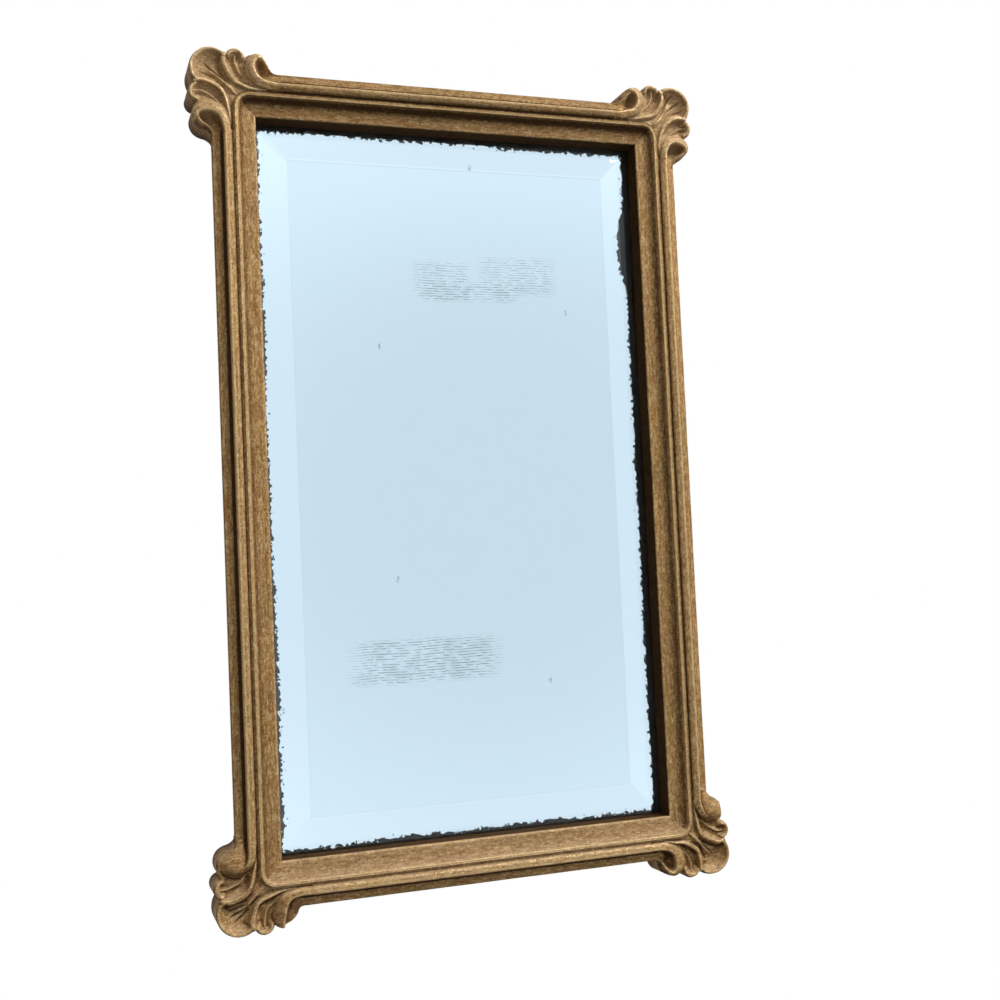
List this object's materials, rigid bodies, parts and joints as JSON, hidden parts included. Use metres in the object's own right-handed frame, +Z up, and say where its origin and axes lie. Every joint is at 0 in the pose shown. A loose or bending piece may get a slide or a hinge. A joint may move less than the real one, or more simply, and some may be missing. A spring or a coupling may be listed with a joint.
{
  "type": "carved wall mirror",
  "caption": "Tall wall mirror with a bevelled glass in a gilded moulded frame, carved shell and scroll corners, a boarded back and hinged hanging rings.",
  "frame": {"origin": "middle of the backboards' rear face, which rests on the wall", "axes": "+Y into the wall, so the glass faces -Y; +Z up; +X to the right as the mirror is looked at"},
  "size_m": [0.419, 0.044, 0.6606],
  "materials": {
    "gilt_moulding": "aged bronze gilding over open-grained wood, worn on the ridges",
    "gilt_carving": "aged bronze gilding over carved wood, dark in the hollows",
    "key_wood": "bare hardwood",
    "plate_glass": "polished, bevelled",
    "silvering": "old silver, lost along the edges",
    "block_pine": "bare softwood",
    "board_pine": "bare aged pine",
    "nail_iron": "dark iron",
    "strap_brass": "dull brass",
    "screw_brass": "dull brass",
    "ring_brass": "dull brass"
  },
  "bodies": {
    "frame": {"top_rail": "gilt_moulding", "bottom_rail": "gilt_moulding", "left_stile": "gilt_moulding", "right_stile": "gilt_moulding", "corner_carving_top_left": "gilt_carving", "corner_carving_top_right": "gilt_carving", "corner_carving_bottom_left": "gilt_carving", "corner_carving_bottom_right": "gilt_carving", "mitre_key_top_left": "key_wood", "mitre_key_top_right": "key_wood", "mitre_key_bottom_left": "key_wood", "mitre_key_bottom_right": "key_wood", "mirror_glass": "plate_glass", "silver_backing": "silvering", "glazing_blocks": "block_pine", "backboard_top": "board_pine", "backboard_middle": "board_pine", "backboard_bottom": "board_pine", "backboard_nails": "nail_iron", "hanger_strap_left": "strap_brass", "hanger_screws_left": "screw_brass", "hanger_strap_right": "strap_brass", "hanger_screws_right": "screw_brass"},
    "left_ring": {"hanger_ring_left": "ring_brass"},
    "right_ring": {"hanger_ring_right": "ring_brass"}
  },
  "joints": [
    {"name": "left_ring_turn", "type": "hinge", "parent": "frame", "child": "left_ring", "pos_m": [-0.18105, -0.00367, 0.15], "axis": [-1, 0, 0], "range_deg": [0, 178]},
    {"name": "right_ring_turn", "type": "hinge", "parent": "frame", "child": "right_ring", "pos_m": [0.18105, -0.00367, 0.15], "axis": [-1, 0, 0], "range_deg": [0, 178]}
  ]
}
